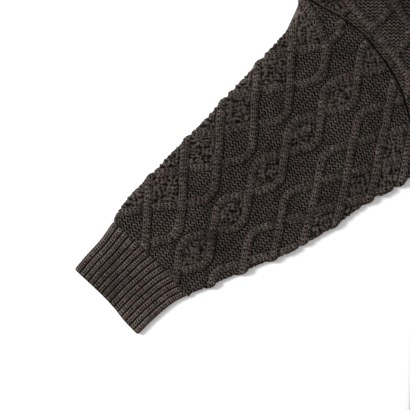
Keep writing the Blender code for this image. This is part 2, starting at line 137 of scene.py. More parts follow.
STRAND_PAINTED_LIGHT = 0.12  # painted light: how much lighter a raised strand is painted than the ground
STRAND_BLEND = (-0.1, 0.4)  # heights above the ground where a strand's looks set in
EDGE_SHADE = 0.3  # at the foot of a strand
DITCH_WIDTH = 2.0  # beside a strand
DITCH_DEPTH = 0.8
DITCH_SHADE = 0.3
MOSS_DITCH_SHADE = 0.35  # and more where the ditch is in moss
# rise of a stitch's leg in courses, depth between legs, where the groove starts, its depth
STRAND_GAPS = (0.46, 0.42, 0.70, 0.68)
RIB_GAPS = (0.42, 0.5, 0.64)  # the same for a rib, its groove's depth apart
RIB_GROOVE = 1.4
HOLE_END = 0.6  # how far from its middle the hole of a stitch reaches
HOLE_SLOPE = 0.5
HOLE_LEAST = 0.08  # how deep it stays between two stitches

MOSS_MOUND = 0.8  # how high moss stands above the ground
MOSS_KNOB = 0.8
MOSS_PACE = (1.45, 1.2)  # half turns of its pattern to a wale and to a course
MOSS_WALE_WANDER = ((9, 0.42, 11), (4.2, 0.46, 14))
MOSS_COURSE_WANDER = ((8, 0.46, 12), (4.2, 0.52, 15))
MOSS_KNOB_WANDER = ((3.1, 0.6, 13),)
MOSS_EDGE = (1.5, 5.0)  # distances from a cell's edge over which moss sets in
MOSS_BASE = 0.12  # its least shade
MOSS_SHADE = 0.72  # and what its pits add
PIT_START = 0.45  # height of a knob's side where the pit begins
PIT_REACH = 1.35

RIB_PITCH = 7.5
RIB_HEIGHT = 2.5
RIB_SINK = 0.6  # share of it that lies below the cloth's face
RIB_SQUARENESS = 3.2
RIB_STITCH = 2.95  # one course of a rib
RIB_STITCH_DEPTH = 0.55
CUFF_RIBS = 15
CUFF_COURSES_LENGTH = 75.0  # along the cuff, as its courses are counted
CUFF_END_SINK = 0.3  # where the cuff meets the sleeve
CUFF_EASE_SHARE = 0.03  # share of its length over which the ribs flatten at each end
CUFF_END_RIBS = 0.5  # how high they still stand at the open end
HEM_EASE_SHARE = 0.05  # of its length, by the front and the back
NECKBAND_EASE_SHARE = 0.12  # of its width, by its seam

FOLD_BUMPS = 0.3  # how much higher the relief stands on the round of a fold
FOLD_FADE = (1.3, 2.6)  # angles round a fold between which the relief ends
LIFT_FADE = 1.2  # and the angle by which the swell does
LIFT_SIDES = 0.08  # share across, times the share left, from which the swell is full
LIFT_ENDS = (0.06, 0.08)  # shares of a sleeve over which it sets in and ends
UNDERSIDE = 3.0  # beyond this angle it is the underside
SEAM_REACH = 2.1  # how far from the armhole seam the cloth sinks towards it
SEAM_CREASE = 0.35  # and how far it is darkest
SEAM_SINK = 1.5
SEAM_EASE = 4.0  # how far from a seam the knitting lies flatter
SEAM_LEAST_RELIEF = 0.25
SLEEVE_SEAM_WANDER = ((6, 0.5, 21),)
PANEL_SEAM_WANDER = ((6, 0.5, 22),)
SEAM_SHADE = 0.86
SEAM_SHADE_WANDER = ((16, 0.14, 23),)
RIM_SHADE = 0.5  # of a tube's end in a seam
ARMHOLE_RIM_SHADE = 0.7
CUFF_EASE = (-1.0, 3.0)  # the same by the cuff
CUFF_FOLD_EASE = 10.0  # and more by the upper fold
CUFF_FOLD = (40.0, 56.0)  # which lies between these distances from the middle
SLEEVE_SWELL_MEAN = 0.9  # how far the flat sleeve lifts off its true plane
SLEEVE_SWELL = ((70, 0.6, 31), (31, 0.35, 32))
BODY_SWELL_MEAN = 0.8
BODY_SWELL = ((85, 0.7, 51), (33, 0.3, 52))
MOST_SWELL = 2.0
TONE_WANDER = ((46, 0.24, 71), (13, 0.18, 72))
FOLD_PAINTED_LIGHT = 0.26  # painted light: how much lighter the wool is painted where it turns down at a fold
FOLD_PAINTED_LIGHT_REACH = 24.0
# painted light in part: the same yarn is painted this light in the cable-knit pieces and lighter
# in the ribbed ones, copying a cuff brighter than the sleeve partly through the falloff of the
# light
SLEEVE_LIGHT = 0.782
RIB_LIGHT = 1.235

# what a column does: its strands cross at even or at odd levels, or a strand turns back there
EVEN, ODD, TURN = "even", "odd", "turn"
SLEEVE_COLUMNS = (
    (-93, EVEN), (-66, ODD), (-39.6, EVEN), (-12.6, ODD), (5.4, TURN), (20.4, TURN),
    (37.8, ODD), (55.2, TURN), (73.8, TURN), (90, ODD), (109.2, EVEN), (128.4, ODD),
    (147.6, EVEN), (166.8, ODD), (186, EVEN),
)
SLEEVE_MOSS = (-66, -39.6, 37.8, 128.4, 147.6)
SLEEVE_EVEN_ALONG = 116.4
SLEEVE_LEVELS = (-4, 14)
FAN_START = 400.0  # along the sleeve, where its strands begin to fan out
FAN_ONSET = 5.0
FAN_LENGTH = 35.0
FAN_MIDDLE = 21.0  # the strands to the fold's side of this wale fan out
FAN_RATE = 0.02
BODY_COLUMNS_HALF = (
    (27, ODD), (45, TURN), (60, TURN), (77.4, ODD), (94.8, TURN), (109.8, TURN),
    (127.8, ODD), (154.8, EVEN), (181.8, ODD), (199.8, TURN), (214.8, TURN), (232.2, ODD),
    (249.6, TURN), (264.6, TURN), (282.6, ODD), (312, EVEN), (341.4, ODD), (370.8, EVEN),
    (400.2, ODD),
)
BODY_MOSS = (0, 77.4, -77.4, 154.8, -154.8, 232.2, -232.2, 370.8, -370.8)
BODY_EVEN_HEIGHT = 136.15
BODY_LEVELS = (-4, 38)
LEAN_POWER = 1.5  # how the wales above the underarm share the sleeve's lean
NOISE_CELLS = 96
FAR = 20.0  # further than any relief or seam reaches
BACK_RELIEF = 0.225  # share of the cables' height that shows under the back
INSIDE_SHADE = 0.22  # the plain inner face lies in the shade of the front

# ---- the grids: one tube's are spaces across its top, round a fold, across its underside,
# along its outer and its inner face
SLEEVE_GRID = (216, 9, 22, 340, 6)
CUFF_GRID = (180, 9, 26, 108, 4)
HEM_GRID = (530, 9, 60, 66, 4)
NECKBAND_GRID = (330, 9, 170, 36, 24)
SLEEVE_LENGTH = 350.0
CUFF_LENGTH = 76.0
# a panel's are spaces across, up to the chest and above it, and their density at one side
FRONT_GRID = (322, 218, 52, 1.9)
BACK_GRID = (200, 110, 24, 1.0)
CHEST_HEIGHT = 1000.0  # up to here a panel's grid rows are level
DENSE_SIDE = 195.0  # outside of this the photographed side has more columns
DENSE_NECK = (84.0, 98.0, 3.0)  # from, to and density of the columns below the neck's ends
DENSE_CHEST = 890.0  # rows lie closer from here to the chest
TURN_ROWS = 8  # round a panel's sides and shoulders
SHOULDER_TURN = 1.3 * OUTER_FOLD  # from where a shoulder starts to turn down to its seam
SIDE_TURN_END = 9.0  # below the underarm a side stops turning down over this
PANEL_SWELL_EDGE = 30.0  # a panel's swell starts this far from its seams
SHOULDER_ONSET = (-1.0, 3.0)  # past the neck's end, where a panel's top starts to turn down
HEM_JOIN_EASE = (-1.0, 6.0)  # distances from the hem over which its relief sets in
NECK_EASE = 7.0  # and from the neckband
TURNED_DOWN = (0.5, 1.0)  # shares of a turn down between which the relief ends
ON_SEAM = 0.99  # and from which a point lies on a seam
BACK_LOWEST = -1.0  # the deepest relief that shows under the back
TOP_REACH = 480  # how far above the underarm a panel's top is looked for
TOP_STEP = 0.5
WELD = 0.005


# ---- plane curves ----
def through(points, steps):
    """A smooth open curve through the points, with that many steps between each two."""
    points = np.asarray(points, dtype=float)
    padded = np.vstack([2 * points[0] - points[1], points, 2 * points[-1] - points[-2]])
    a, b, c, d = (padded[k:len(padded) - 3 + k, None] for k in range(4))
    t = (np.arange(steps) / steps)[:, None]
    curve = 0.5 * (2 * b + (c - a) * t + (2 * a - 5 * b + 4 * c - d) * t ** 2
                   + (3 * b - a - 3 * c + d) * t ** 3)
    return np.vstack([curve.reshape(-1, points.shape[1]), padded[-2]])


def lengths(curve):
    """The distance along the curve at each of its points."""
    steps = np.linalg.norm(np.diff(curve, axis=0), axis=1)
    return np.concatenate([[0], np.cumsum(steps)])


def at_length(curve, length):
    """The points of the curve at these distances along it."""
    where = lengths(curve)
    return np.stack([np.interp(length, where, curve[:, k]) for k in (0, 1)], axis=-1)


def on_sleeve(across, along):
    """Points of the wearer's left sleeve in the dress's plane."""
    across, along = np.asarray(across)[..., None], np.asarray(along)[..., None]
    return np.array(CUFF_MIDDLE) + ALONG * along + ACROSS * across


def smooth_step(value, start, end):
    """0 at start, 1 at end, and smooth between them."""
    t = np.clip((value - start) / (end - start), 0, 1)
    return t * t * (3 - 2 * t)


def unevenness(x, y, size, seed):
    """Smooth hand-made unevenness from -1 to 1, over patches of that size."""
    table = np.random.default_rng(seed).uniform(-1, 1, (NOISE_CELLS, NOISE_CELLS))
    column, row = np.floor(x / size).astype(int), np.floor(y / size).astype(int)
    fx, fy = (smooth_step(v, 0, 1) for v in (x / size - column, y / size - row))

    def corner(i, j):
        return table[(column + i) % NOISE_CELLS, (row + j) % NOISE_CELLS]

    low = corner(0, 0) * (1 - fx) + corner(1, 0) * fx
    high = corner(0, 1) * (1 - fx) + corner(1, 1) * fx
    return low * (1 - fy) + high * fy


def layered(x, y, layers):
    """Unevenness of several sizes, added up."""
    return sum(amount * unevenness(x, y, size, seed) for size, amount, seed in layers)


def swell(wale, course, mean, layers):
    """How far the cloth lifts in soft swells where it doesn't lie quite even."""
    return np.clip(mean + layered(wale, course, layers), 0, MOST_SWELL)


# ---- stitches ----
class Relief:
    """What the knitting adds to the cloth at each point: its height, how deep the painted shade
    is there in moss pits, ditches, at a strand's foot, where it passes under and by seams, how
    far it belongs to the ground, to moss left to the material and to a strand, and its stitch
    coordinates on the strand."""

    hollow = ground = moss = strand = strand_wale = strand_course = 0.0

    def __init__(self, height, **others):
        self.height = height
        vars(self).update(others)


# The three patterns of gaps serve the mesh with arrays and the material with shader nodes.
def waves(phase):
    """0 at whole numbers and 1 halfway between them."""
    return 0.5 - 0.5 * np.cos(2 * np.pi * phase)


def ground_gaps(x, y):
    """How deep each point lies between the ground's courses: they swing up and down from
    wale to wale, and the gaps open on the falling legs of one course and on the rising legs
    of the next.  x and y count stitches."""
    phase = y + ZIGZAG / 2 * (4 * np.abs(x % 1 - 0.5) - 1)
    slope = np.sin(2 * np.pi * x)
    opening = GAP_LEAST + GAP_ON_LEGS * np.abs(slope) - GAP_FALLING * slope
    opening = opening - GAP_TURNS * slope * np.sin(np.pi * phase)
    return waves(phase) ** GAP_POWER * np.maximum(opening, 0)


def knit_gaps(x, y, slant, leg_gap, groove_start, groove_depth):
    """How deep each point lies in columns of knit stitches: every stitch is a V of two legs,
    with a dark hole where they part and a groove to the next column."""
    inside = np.abs(2 * (x % 1) - 1)
    between = waves(y - slant * inside)
    hole = np.clip((HOLE_END - inside) / HOLE_SLOPE, 0, 1)
    hole = hole * (HOLE_LEAST + (1 - HOLE_LEAST) * between)
    groove = np.clip((inside - groove_start) / (1 - groove_start), 0, 1) * groove_depth
    return np.maximum(np.maximum(between * leg_gap, hole), groove)


def moss_knobs(x, y):
    """Knobs and pits that alternate both ways, from 1 to -1."""
    return np.sin(MOSS_PACE[0] * np.pi * x) * np.sin(MOSS_PACE[1] * np.pi * y)


def moss(wale, course):
    """The height and the shade of moss, no stitch quite like the next."""
    x = wale / STITCH_WIDTH + layered(wale, course, MOSS_WALE_WANDER)
    y = course / STITCH_HEIGHT + layered(wale, course, MOSS_COURSE_WANDER)
    knob = moss_knobs(x, y) + layered(wale, course, MOSS_KNOB_WANDER)
    pit = smooth_step(PIT_START - knob, 0, PIT_REACH)
    return MOSS_MOUND + MOSS_KNOB * knob, MOSS_BASE + MOSS_SHADE * pit


def wander(wale, course):
    """The ground's stitch coordinates, with the unevenness of real knitting."""
    return (wale / STITCH_WIDTH + layered(wale, course, WALE_WANDER),
            course / STITCH_HEIGHT + layered(wale, course, COURSE_WANDER))


def wool_tone(x, y, to_fold):
    """How light the wool is painted: uneven in soft patches, and with painted light where it
    turns down at a fold.
    """
    return 1 + layered(x, y, TONE_WANDER) \
        + FOLD_PAINTED_LIGHT * (1 - smooth_step(to_fold, 0, FOLD_PAINTED_LIGHT_REACH))


def fan_spread(course):
    """How many times further apart the sleeve's strands lie as it nears the armhole."""
    past = np.clip(course - FAN_START, 0, FAN_LENGTH)
    return 1 / (1 - FAN_RATE * past ** 2 / (past + FAN_ONSET))


def fanned(wale, spread):
    """The wales, spread that many times from the fan's middle towards the upper fold."""
    return np.where(wale < FAN_MIDDLE, FAN_MIDDLE + (wale - FAN_MIDDLE) * spread, wale)


def seam_shade(wale, course):
    return SEAM_SHADE + layered(wale, course, SEAM_SHADE_WANDER)


class Lattice:
    """Strands that cross and turn on a ground of courses, with moss in some of the cells."""

    def __init__(self, columns, moss_columns, levels, even_course, plain=(), spread=None,
                 fine=True):
        self.columns = columns
        self.moss_columns = moss_columns
        self.levels = levels
        self.even_course = even_course
        self.plain = plain
        self.spread = spread
        self.fine = fine
        self.courses = np.arange(self.course_of(levels[0]), self.course_of(levels[1]), 1.0)
        self.strands = [self.strand(*start) for start in self.starts()]

    def course_of(self, level):
        return self.even_course + level * CABLE_PERIOD / 2

    def starts(self):
        """Where each strand starts: its column and the way it first goes."""
        parity = EVEN if self.levels[0] % 2 == 0 else ODD
        for i, (_, kind) in enumerate(self.columns):
            if kind == TURN and self.levels[0] % 2 == 0:
                yield i, self.inward(i)
            elif kind == parity:
                yield i, 1
                yield i, -1

    def inward(self, i):
        """The way a strand leaves the turn at a column: to the side where it may cross."""
        after = self.columns[i + 1] if i + 1 < len(self.columns) else (0, TURN)
        return -1 if after[1] == TURN else 1

    def strand(self, i, way):
        """One strand at each course: its place across, the slope of that, how far it is
        lifted, and the length of its run up to there."""
        course, across, crossings = [], [], []
        for level in range(self.levels[0], self.levels[1] + 1):
            middle, kind = self.columns[i]
            beyond = not 0 <= i + way < len(self.columns)
            turns = kind == TURN or beyond
            reach = TURN_HALF_LENGTH if turns else 0.0
            course += [self.course_of(level) - reach, self.course_of(level) + reach]
            across += [middle, middle]
            if kind == TURN:
                way = self.inward(i)
            elif beyond:
                way = -way
            if not turns:
                crossings.append((self.course_of(level), way > 0))
            i += way
        straight = np.interp(self.courses, course, across)
        window = np.hanning(TURN_WINDOW)
        padded = np.pad(straight, len(window) // 2, mode="edge")
        place = np.convolve(padded, window / window.sum(), mode="valid")
        if self.spread is not None:
            place = fanned(place, self.spread(self.courses))
        lift = np.zeros(len(self.courses))
        for crossing, goes_under in crossings:
            inside = CROSSING_REACH - np.abs(self.courses - crossing)
            near = smooth_step(inside, 0, CROSSING_SLOPE)
            lift += near * (-UNDER_DROP if goes_under else OVER_LIFT)
        slope = np.gradient(place)
        run = np.concatenate([[0], np.cumsum(np.hypot(1, slope[1:]))])
        return place, slope, lift, run

    def moss_share(self, wale, course):
        """How far each point lies inside a cell of moss."""
        share = np.zeros_like(wale)
        half = CABLE_PERIOD / 2
        if self.spread is not None:
            wale = fanned(wale, 1 / self.spread(course))
        for i, (middle, kind) in enumerate(self.columns):
            if middle not in self.moss_columns:
                continue
            first_level = 0 if kind == ODD else 1
            level = (course - self.even_course) / half - first_level
            level = 2 * np.round(level / 2) + first_level
            off = np.abs(course - self.course_of(level))
            in_moss = ~np.isin(level, [plain for place, plain in self.plain if place == middle])
            for way in (-1, 1):
                if 0 <= i + way < len(self.columns):
                    place, neighbour = self.columns[i + way]
                    straight = TURN_HALF_LENGTH * (neighbour == TURN)
                    edge = abs(place - middle) * np.clip((half - off) / (half - straight), 0, 1)
                    inside = smooth_step(edge - np.abs(wale - middle), *MOSS_EDGE)
                    on_side = (wale < middle) == (way < 0)
                    share = np.maximum(share, inside * (on_side & in_moss))
        return share

    def relief(self, wale, course):
        """The knitting's relief at each point of the cloth."""
        share = self.moss_share(wale, course)
        if self.fine:
            gaps = ground_gaps(*wander(wale, course))
            knobs, pits = moss(wale, course)
        else:
            gaps = np.full_like(wale, MEAN_GAP)
            knobs, pits = MOSS_MOUND, 0.0
        height = -GROUND_DEPTH * gaps * (1 - share) + knobs * share
        # painted shade in the pits of the moss
        hollow = pits * share
        top = np.full_like(height, -FAR)
        beside = np.full_like(height, FAR)
        strand_wale = np.zeros_like(height)
        strand_course = np.zeros_like(height)
        tucked = np.zeros_like(height)
        for number, (place, slope, lift, run) in enumerate(self.strands):
            line = np.full_like(course, STRAND_APART * number)
            here = np.interp(course, self.courses, place) + layered(course, line, STRAND_SWAY)
            lean = np.interp(course, self.courses, slope)
            away = (wale - here) / np.hypot(1, lean)
            beside = np.minimum(beside, np.abs(away))
            near = np.abs(away) < CABLE_HALF_WIDTH
            if not near.any():
                continue
            along = np.interp(course, self.courses, run) + away * lean
            along = along / STRAND_COURSE + STRAND_STAGGER * number
            round_top = np.clip(1 - (away / CABLE_HALF_WIDTH) ** 2, 0, 1) ** CABLE_ROUNDING
            size = 1 + layered(course, line, CABLE_HEIGHT_WANDER)
            lifted = np.interp(course, self.courses, lift)
            raised = (lifted + CABLE_HEIGHT * size) * round_top - CABLE_SINK
            tuck = smooth_step(-lifted, TUCK_START * UNDER_DROP, UNDER_DROP)
            wins = near & (raised > top)
            strand_wale = np.where(wins, away / STRAND_WALE + STRAND_MIDDLE, strand_wale)
            strand_course = np.where(wins, along, strand_course)
            tucked = np.where(wins, tuck, tucked)
            top = np.where(wins, raised, top)
        from_edge = np.abs(beside - CABLE_HALF_WIDTH)
        ditch = smooth_step(DITCH_WIDTH - from_edge, 0, DITCH_WIDTH) * (top == -FAR)
        height = height - DITCH_DEPTH * ditch
        # painted shade in the ditch beside a strand, deeper where the ditch runs through moss
        hollow = np.maximum(hollow, (DITCH_SHADE + MOSS_DITCH_SHADE * share) * ditch)
        strand_wale = strand_wale + layered(wale, course, STRAND_WALE_WANDER)
        strand_course = strand_course + layered(wale, course, STRAND_COURSE_WANDER)
        gaps = knit_gaps(strand_wale, strand_course, *STRAND_GAPS)
        above = top - height
        strand = smooth_step(above, *STRAND_BLEND)
        # painted shade at a strand's foot and where it passes under another strand
        edge = np.maximum(EDGE_SHADE * (1 - smooth_step(above, 0, 1)), TUCK_SHADE * tucked)
        height = np.where(above > 0, top - STRAND_STITCH_DEPTH * gaps, height)
        hollow = np.where(above > 0, edge, hollow)
        return Relief(height, hollow=hollow, ground=(1 - strand) * (1 - share),
                      moss=0.0 if self.fine else share * (1 - strand), strand=strand,
                      strand_wale=strand_wale, strand_course=strand_course)


def rib_units(wale, course):
    """The ribs' stitch coordinates."""
    return wale / RIB_PITCH, course / RIB_STITCH


def rib_height(wale, course):
    """Ribs of one knit wale each, a rib's pitch apart, with purl grooves between them."""
    x, y = rib_units(wale, course)
    round_top = 1 - np.abs(2 * (x % 1) - 1) ** RIB_SQUARENESS
    gaps = knit_gaps(x, y, *RIB_GAPS, 0.0)
    return RIB_HEIGHT * (round_top - RIB_SINK) - RIB_STITCH_DEPTH * gaps * round_top


# ---- grids of cloth ----
def new_grid(rows, columns, half=1.0):
    """A flat grid as a mesh, and the row and column of each of its points."""
    bm = bmesh.new()
    bmesh.ops.create_grid(bm, x_segments=columns, y_segments=rows, size=half)
    mesh = bpy.data.meshes.new("cloth")
    bm.to_mesh(mesh)
    bm.free()
    return mesh, *np.divmod(np.arange(len(mesh.vertices)), columns + 1)


def place_points(mesh, points):
    """Put the mesh's points there: millimetres in the part's plane, with the row's origin
    halfway up the dress."""
    placed = (points - np.array([0, TOTAL_LENGTH / 2, 0])) * MM
    mesh.vertices.foreach_set("co", placed.ravel())


def write_attributes(mesh, values):
    for name, numbers in values.items():
        layer = mesh.attributes.new(name, "FLOAT", "POINT")
        whole = np.broadcast_to(numbers, len(mesh.vertices)).astype(np.float32)
        layer.data.foreach_set("value", whole)


def read_attribute(mesh, name):
    numbers = np.empty(len(mesh.vertices), dtype=np.float32)
    mesh.attributes[name].data.foreach_get("value", numbers)
    return numbers


def write_knit(mesh, knit, hollow, tone_and_painted_light, moss_share, strand):
    """What the wool's material reads."""
    write_attributes(mesh, {
        # painted shade, by which the material darkens the colour
        "hollow": hollow,
        # painted light: strands painted lighter than the ground
        "tone_and_painted_light": tone_and_painted_light * (1 + STRAND_PAINTED_LIGHT * knit.strand),
        "ground": knit.ground,
        "moss": moss_share,
        "strand": strand,
        "strand_wale": knit.strand_wale,
        "strand_course": knit.strand_course,
    })


def write_stitches(mesh, wale, course):
    """The UV map that the fine stitches follow: stitches across, courses along."""
    corners = np.empty(len(mesh.loops), dtype=int)
    mesh.loops.foreach_get("vertex_index", corners)
    layer = mesh.uv_layers.new(name="stitches")
    both = np.stack([wale[corners], course[corners]], axis=1)
    layer.data.foreach_set("uv", both.astype(np.float32).ravel())


def finish_piece(mesh, name, material, mirrored=False):
    """Weld the mesh, turn its faces outward, and put it in the scene as an object."""
    bm = bmesh.new()
    bm.from_mesh(mesh)
    bmesh.ops.remove_doubles(bm, verts=bm.verts[:], dist=WELD * MM)
    if mirrored:
        bmesh.ops.scale(bm, verts=bm.verts[:], vec=(-1, 1, 1))
    bmesh.ops.recalc_face_normals(bm, faces=bm.faces[:])
    bm.to_mesh(mesh)
    bm.free()
    mesh.shade_smooth()
    mesh.name = name
    mesh.materials.append(material)
    return add_object(name, mesh)


def tube_columns(top, turn, bottom):
    """Share across, angle round the fold and side of each column of a flattened tube, from
    the middle of the underside round and back to it."""
    knots = np.cumsum([0, bottom // 2, turn, top, turn, bottom // 2])
    index = np.arange(knots[-1] + 1)
    share = np.interp(index, knots, (0.5, 0, 0, 1, 1, 0.5))
    angle = np.interp(index, knots, (np.pi, np.pi, 0, 0, np.pi, np.pi))
    return share, angle, 1.0 * (index >= knots[3]) - (index < knots[2])


def tube_rows(count, inner, length):
    """Share along, radius of the fold, and whether it is the outer face, for each row of a
    flattened tube: up the outer face, round the rim, down the inner face and back."""
    edge = RIM / length
    knots = np.cumsum([0, count, 1, 1, 1, inner, 1, 1, 1])
    index = np.arange(knots[-1] + 1)
    share = np.interp(index, knots, (edge, 1 - edge, 1, 1, 1 - edge, edge, 0, 0, edge))
    up = (OUTER_FOLD, OUTER_FOLD, OUTER_FOLD - RIM, INNER_FOLD + RIM, INNER_FOLD)
    radius = np.interp(index, knots, up + up[:0:-1])
    return share, radius, (index <= count) | (index == knots[-1])


def make_tube(name, ribbed, grid, length, flat, stitches, relief, dark_ends, lift=None,
              mirrored=False):
    """A flattened tube with a wall, open at both ends.

    flat(share, row share, side) gives the plane points of the flat layers and the outward
    directions at their ends; stitches turns share, row share and the distance round a fold
    into wale and course; relief gives the knitting there, and lift the cloth's swell.
    dark_ends is how deep in shade the rims lie, which a seam hides or not."""
    material, units, light = ((RIB_WOOL, rib_units, RIB_LIGHT) if ribbed
                              else (CABLE_WOOL, wander, SLEEVE_LIGHT))
    top, turn, bottom, count, inner = grid
    top, bottom, count = (2 * round(n * FINE / 2) for n in (top, bottom, count))
    share, angle, side = tube_columns(top, turn, bottom)
    along, radius, is_outer = tube_rows(count, inner, length)
    mesh, row, column = new_grid(len(along) - 1, len(share) - 1)
    p, a, s = share[column], angle[column], side[column]
    q, r, outer = along[row], radius[row], is_outer[row]
    underside = a > UNDERSIDE
    points, outward = flat(p, q, underside, s)
    round_fold = s * OUTER_FOLD * np.where(underside, np.pi, a)
    wale, course = stitches(p, q, round_fold, s, underside)
    knit = relief(wale, course, q)
    fade = 1 - smooth_step(a, *FOLD_FADE)
    reach = r + knit.height * np.where(outer, fade, 0) * (1 + FOLD_BUMPS * np.sin(a))
    plane = points + outward * (reach * np.sin(a))[:, None]
    z = MIDDLE + reach * np.cos(a)
    if lift is not None:
        on_top = (1 - smooth_step(a, 0, LIFT_FADE)) * smooth_step(p * (1 - p), 0, LIFT_SIDES)
        z = z + lift(wale, course, q) * on_top
    place_points(mesh, np.column_stack([plane, z]))
    carved = np.where(outer, fade, 0)
    # painted shade on the rims of the tube's ends
    rims = np.where(outer, 0, dark_ends[0] * (q == 0) + dark_ends[1] * (q == 1))
    # the wool's uneven tone, with painted light towards the folds
    tone_and_painted_light = light * wool_tone(wale, course, np.minimum(p, 1 - p) * np.ptp(wale) / 2)
    write_knit(mesh, knit, knit.hollow * carved + rims, tone_and_painted_light, knit.moss, knit.strand * carved)
    write_stitches(mesh, *units(wale, course))
    return finish_piece(mesh, name, material, mirrored)


# ---- sleeves and cuffs ----
def between(lower_end, upper_end, sides):
    """A function from shares across and along to (across, along) between the end curves."""
    table = through(sides, SIDE_STEPS)
    lower, upper = through(lower_end, CURVE_STEPS), through(upper_end, CURVE_STEPS)

    def place(p, q):
        along = sides[0][0] + (sides[-1][0] - sides[0][0]) * q
        across = np.zeros_like(along)
        for _ in range(PLACE_ROUNDS):
            left = np.interp(along, table[:, 0], table[:, 1]) + OUTER_FOLD
            right = np.interp(along, table[:, 0], table[:, 2]) - OUTER_FOLD
            across = left + (right - left) * p
            low = np.interp(across, lower[:, 0], lower[:, 1])
            high = np.interp(across, upper[:, 0], upper[:, 1])
            along = low + (high - low) * q
        return across, along

    return place


def moved_along(rows, step):
    """The (across, along) rows, moved along the sleeve."""
    return [(across, along + step) for across, along in rows]


def sleeve_tube(place):
    """The flat and the stitches of a tube laid in the sleeve's frame."""
    def flat(p, q, underside, side):
        return on_sleeve(*place(p, q)), ACROSS * side[:, None]

    def stitches(p, q, round_fold, side, underside):
        across, along = place(p, q)
        edge, _ = place((side > 0).astype(float), q)
        wale = np.where(underside, edge + round_fold + (edge - across), across + round_fold)
        return wale, along

    return flat, stitches


SLEEVE_LATTICE = Lattice(SLEEVE_COLUMNS, SLEEVE_MOSS, SLEEVE_LEVELS, SLEEVE_EVEN_ALONG,
                         plain=((-39.6, -1),), spread=fan_spread)
ARMHOLE_CURVE = through(ARMHOLE, CURVE_STEPS)
JOIN_CURVE = through(CUFF_JOIN, CURVE_STEPS)


def sleeve_relief(wale, course, q):
    knit = SLEEVE_LATTICE.relief(wale, course)
    to_armhole = np.interp(wale, ARMHOLE_CURVE[:, 0], ARMHOLE_CURVE[:, 1]) - course
    to_armhole = to_armhole + layered(wale, course, SLEEVE_SEAM_WANDER)
    to_cuff = course - np.interp(wale, JOIN_CURVE[:, 0], JOIN_CURVE[:, 1])
    by_fold = smooth_step(-wale, *CUFF_FOLD)
    ease = smooth_step(to_armhole, 0, SEAM_EASE)
    ease = ease * smooth_step(to_cuff, CUFF_EASE[0], CUFF_EASE[1] + CUFF_FOLD_EASE * by_fold)
    ease = SEAM_LEAST_RELIEF + (1 - SEAM_LEAST_RELIEF) * ease
    seam = 1 - smooth_step(to_armhole, SEAM_CREASE, SEAM_REACH)
    knit.height = knit.height * ease - SEAM_SINK * seam
    # painted shade along the armhole seam
    knit.hollow = np.maximum(knit.hollow, seam_shade(wale, course) * seam)
    return knit


def sleeve_lift(wale, course, q):
    ends = smooth_step(q, 0, LIFT_ENDS[0]) * smooth_step(1 - q, 0, LIFT_ENDS[1])
    return swell(wale, course, SLEEVE_SWELL_MEAN, SLEEVE_SWELL) * ends


def make_sleeve(name, mirrored):
    place = between(moved_along(CUFF_JOIN, SEAM_GAP / 2), moved_along(ARMHOLE, -SEAM_GAP),
                    SLEEVE_SIDES)
    flat, stitches = sleeve_tube(place)
    return make_tube(name, False, SLEEVE_GRID, SLEEVE_LENGTH, flat, stitches, sleeve_relief,
                     (RIM_SHADE, ARMHOLE_RIM_SHADE), sleeve_lift, mirrored)


def rib_stitches(ribs, start, length):
    """The stitches of a ribbed tube with that many ribs between its folds."""
    def stitches(p, q, round_fold, side, underside):
        number = np.where(underside, 2 * ribs * (side > 0) - p * ribs, p * ribs)
        return number * RIB_PITCH + round_fold + start, q * length

    return stitches


def make_cuff(name, mirrored):
    place = between(CUFF_END, moved_along(CUFF_JOIN, -SEAM_GAP / 2), CUFF_SIDES)
    flat, _ = sleeve_tube(place)
    ribs = CUFF_RIBS - 2 * OUTER_FOLD / RIB_PITCH

    def relief(wale, course, q):
        join = smooth_step(1 - q, 0, CUFF_EASE_SHARE)
        from_end = smooth_step(q, 0, CUFF_EASE_SHARE)
        ease = join * (CUFF_END_RIBS + (1 - CUFF_END_RIBS) * from_end)
        return Relief(rib_height(wale, course) * ease - CUFF_END_SINK * (1 - join))

    return make_tube(name, True, CUFF_GRID, CUFF_LENGTH, flat,
                     rib_stitches(ribs, OUTER_FOLD, CUFF_COURSES_LENGTH), relief,
                     (0.0, RIM_SHADE), mirrored=mirrored)


# ---- hem and neckband ----
def make_hem(name):
    top = HEM_HEIGHT - SEAM_GAP / 2
    ribs = round(2 * HEM_HALF_WIDTH / RIB_PITCH) - 2 * OUTER_FOLD / RIB_PITCH

    def flat(p, q, underside, side):
        half = HEM_HALF_WIDTH + (BODY_HALF_WIDTH - HEM_HALF_WIDTH) * q - OUTER_FOLD
        points = np.column_stack([half * (2 * p - 1), top * q])
        return points, np.column_stack([side, np.zeros_like(side)])

    def relief(wale, course, q):
        return Relief(rib_height(wale, course) * smooth_step(1 - q, 0, HEM_EASE_SHARE))

    return make_tube(name, True, HEM_GRID, top, flat, rib_stitches(ribs, OUTER_FOLD, top), relief,
                     (0.0, RIM_SHADE))


def neck_curve(drop, into_band):
    """A line round the neck, as in the part's source, from the wearer's left to the right."""
    end_line = np.array([-NECKBAND_RUN, NECKBAND_RISE]) / NECKBAND_WIDTH
    start = np.array(NECK_POINT) + end_line * into_band
    lead = start + np.array([-end_line[1], end_line[0]]) * NECK_LEAD
    bottom = NECK_POINT[1] - drop + into_band
    angles = np.linspace(0, math.pi / 2, NECK_STEPS + 1)
    curve = np.column_stack([lead[0] * np.cos(angles),
                             lead[1] + (bottom - lead[1]) * np.sin(angles)])
    curve[-1, 0] = 0
    half = np.vstack([start, curve])
    return np.vstack([half, half[-2::-1] * np.array([-1, 1])])


